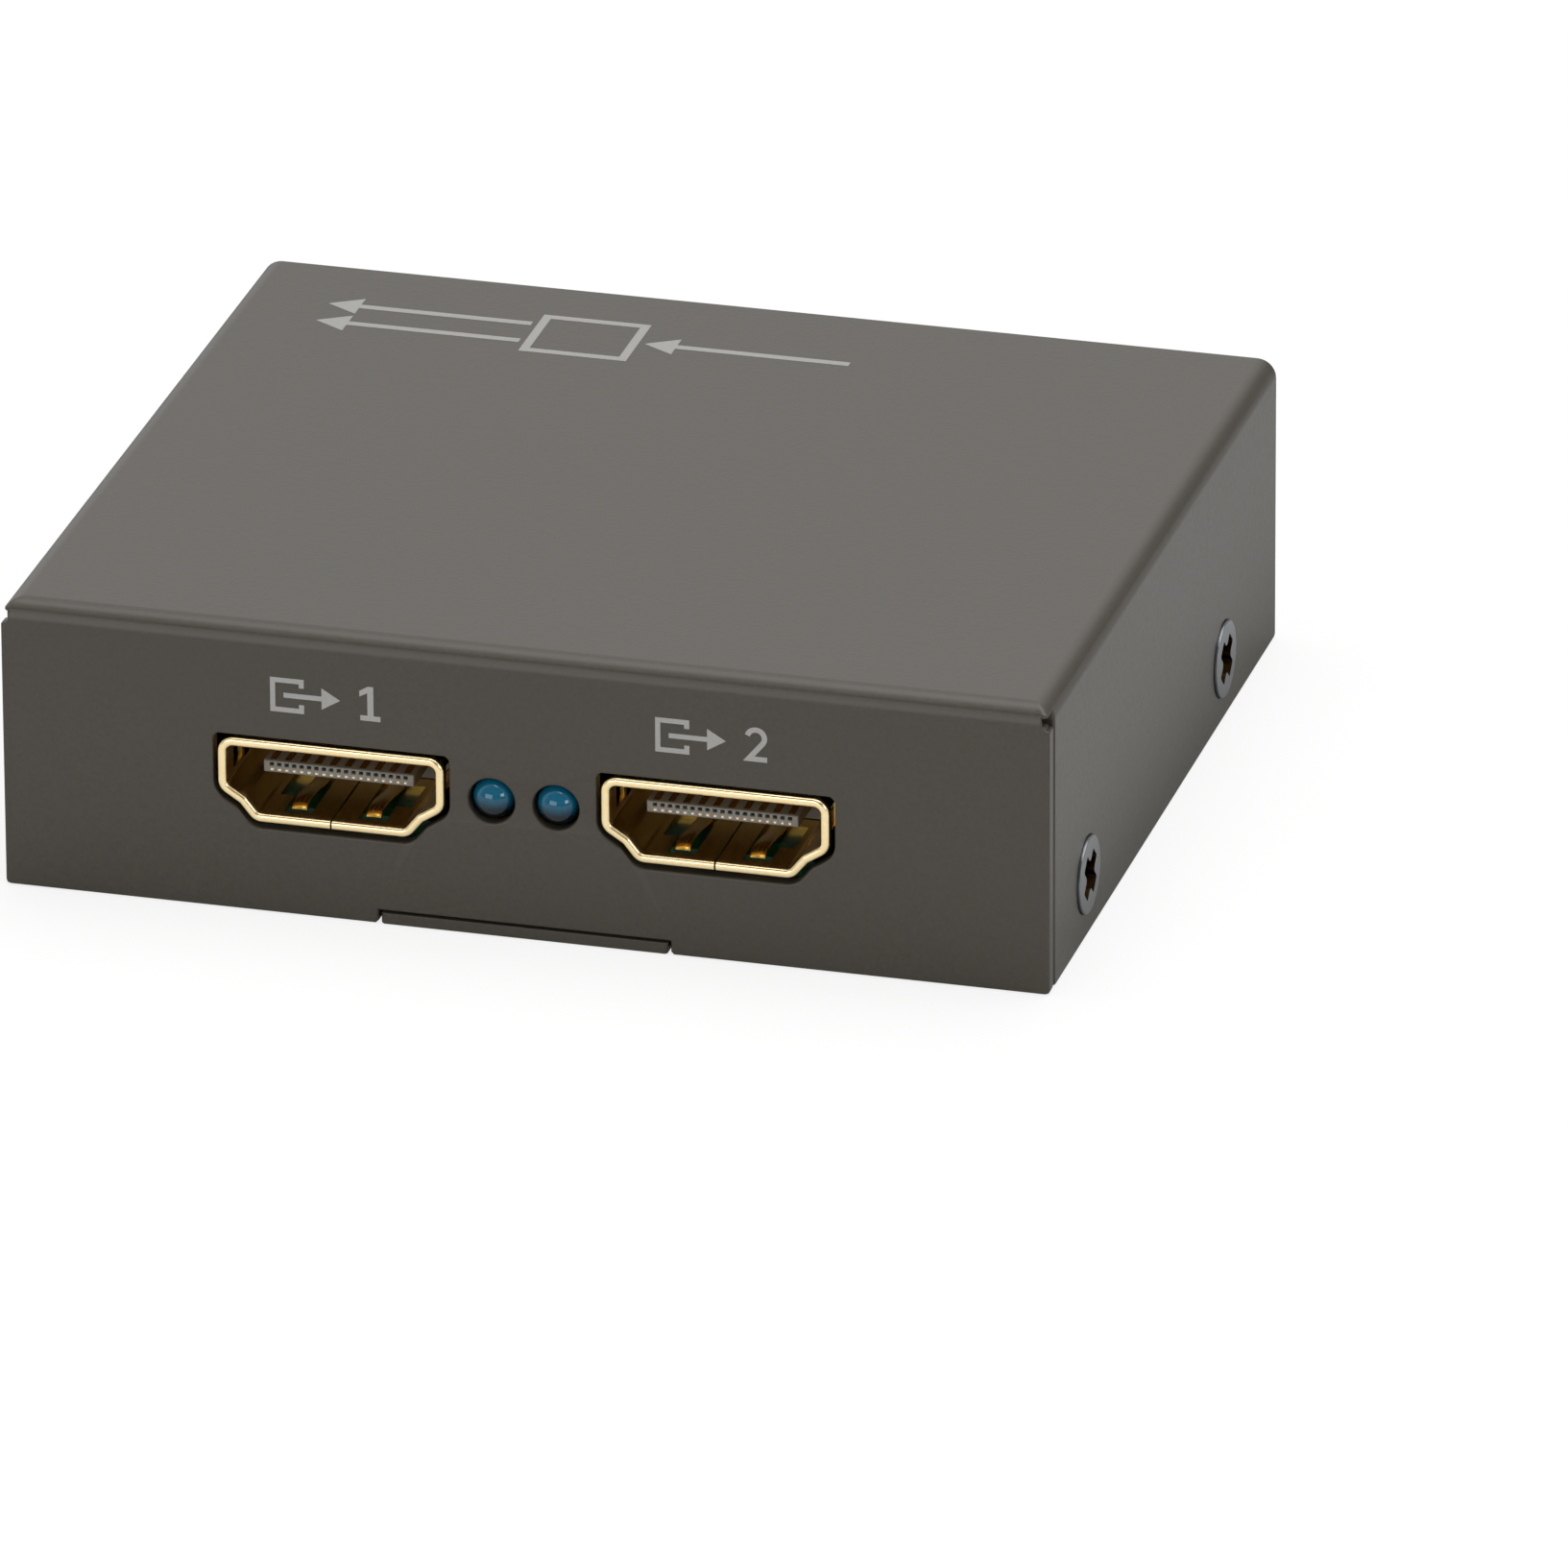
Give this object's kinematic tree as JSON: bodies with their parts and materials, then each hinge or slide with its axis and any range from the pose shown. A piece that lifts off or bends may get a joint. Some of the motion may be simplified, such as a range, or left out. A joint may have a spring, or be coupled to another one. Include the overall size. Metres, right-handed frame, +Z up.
{
  "type": "hdmi splitter",
  "caption": "Small flat box in folded grey-brown sheet metal that sends one video input to several outputs, with gold-rimmed sockets and blue indicator lamps.",
  "frame": {"origin": "middle of the underside of the case", "axes": "+X along the front to the right, -Y out of the outputs, +Y out of the input, +Z up"},
  "size_m": [0.0704, 0.0606, 0.02],
  "materials": {
    "case_paint": "satin grey-brown paint on folded steel sheet",
    "plated_steel": "nickel plated",
    "gold_plate": "bright gold plate",
    "socket_plastic": "moulded, light grey",
    "blue_epoxy": "clear tinted epoxy, glossy",
    "tinned_metal": "tin plated",
    "board_laminate": "green solder mask",
    "black_plastic": "moulded, black",
    "chip_resin": "moulded resin, black",
    "pad_rubber": "soft thermal pad",
    "bare_aluminium": "bare, extruded or drawn",
    "ferrite": "pressed ferrite",
    "fuse_body": "matt green",
    "capacitor_ceramic": "fired ceramic, tan",
    "resistor_ceramic": "fired ceramic with a dark glaze"
  },
  "bodies": {
    "case": {"top_cover": "case_paint", "base_tray": "case_paint", "board_standoffs": "plated_steel", "board_screws": "plated_steel", "main_board": "board_laminate", "output_1_shell": "gold_plate", "output_1_insulator": "socket_plastic", "output_1_contacts": "gold_plate", "output_2_shell": "gold_plate", "output_2_insulator": "socket_plastic", "output_2_contacts": "gold_plate", "input_shell": "gold_plate", "input_insulator": "socket_plastic", "input_contacts": "gold_plate", "output_1_led": "blue_epoxy", "output_1_led_leads": "tinned_metal", "output_2_led": "blue_epoxy", "output_2_led_leads": "tinned_metal", "power_jack_housing": "black_plastic", "power_jack_pin": "tinned_metal", "power_jack_spring_terminal": "tinned_metal", "power_jack_switch_contact": "tinned_metal", "splitter_chip": "chip_resin", "splitter_chip_leads": "tinned_metal", "thermal_pad": "pad_rubber", "heat_sink": "bare_aluminium", "voltage_regulator": "chip_resin", "power_inductor": "ferrite", "bulk_capacitors": "bare_aluminium", "power_fuse": "fuse_body", "clock_crystal": "tinned_metal", "memory_chip": "chip_resin", "esd_arrays": "chip_resin", "ceramic_capacitors": "capacitor_ceramic", "chip_resistors": "resistor_ceramic"},
    "case_screw_left_front": {"case_screw_left_front": "plated_steel"},
    "case_screw_left_rear": {"case_screw_left_rear": "plated_steel"},
    "case_screw_right_front": {"case_screw_right_front": "plated_steel"},
    "case_screw_right_rear": {"case_screw_right_rear": "plated_steel"},
    "inlet_spring": {"power_jack_spring": "tinned_metal"}
  },
  "joints": [
    {"name": "case_screw_left_front_out", "type": "slide", "parent": "case", "child": "case_screw_left_front", "axis": [-1, 0, 0], "range_m": [0, 0.004]},
    {"name": "case_screw_left_rear_out", "type": "slide", "parent": "case", "child": "case_screw_left_rear", "axis": [-1, 0, 0], "range_m": [0, 0.004]},
    {"name": "case_screw_right_front_out", "type": "slide", "parent": "case", "child": "case_screw_right_front", "axis": [1, 0, 0], "range_m": [0, 0.004]},
    {"name": "case_screw_right_rear_out", "type": "slide", "parent": "case", "child": "case_screw_right_rear", "axis": [1, 0, 0], "range_m": [0, 0.004]},
    {"name": "inlet_spring_flex", "type": "hinge", "parent": "case", "child": "inlet_spring", "pos_m": [-0.017, 0.026, 0.00895], "axis": [1, 0, 0], "range_deg": [0, 6], "stiffness_Nm_per_rad": 0.01}
  ]
}
